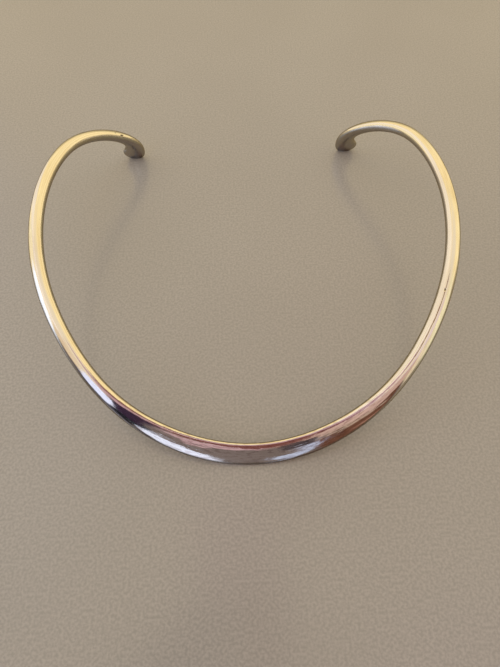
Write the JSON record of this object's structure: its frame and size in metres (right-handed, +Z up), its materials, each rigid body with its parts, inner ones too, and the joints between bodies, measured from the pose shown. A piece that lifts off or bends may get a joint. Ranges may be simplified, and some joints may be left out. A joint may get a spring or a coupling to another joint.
{
  "type": "neck ring",
  "caption": "Open saddle-shaped neck ring of plain polished silver: broad leaning front band, slimmer arched arms, flared rounded ends turned down.",
  "frame": {"origin": "on the table plane under the centre of the ring's bounding box, as it lies on its front and its two ends", "axes": "+X to the side across the two arms, +Y from the broad front to the open ends, +Z up from the table"},
  "size_m": [0.13, 0.1286, 0.0303],
  "materials": {
    "polished_silver": "mirror-polished sterling silver with fine wiping scratches"
  },
  "bodies": {
    "root": {"neck_ring": "polished_silver"}
  },
  "joints": []
}
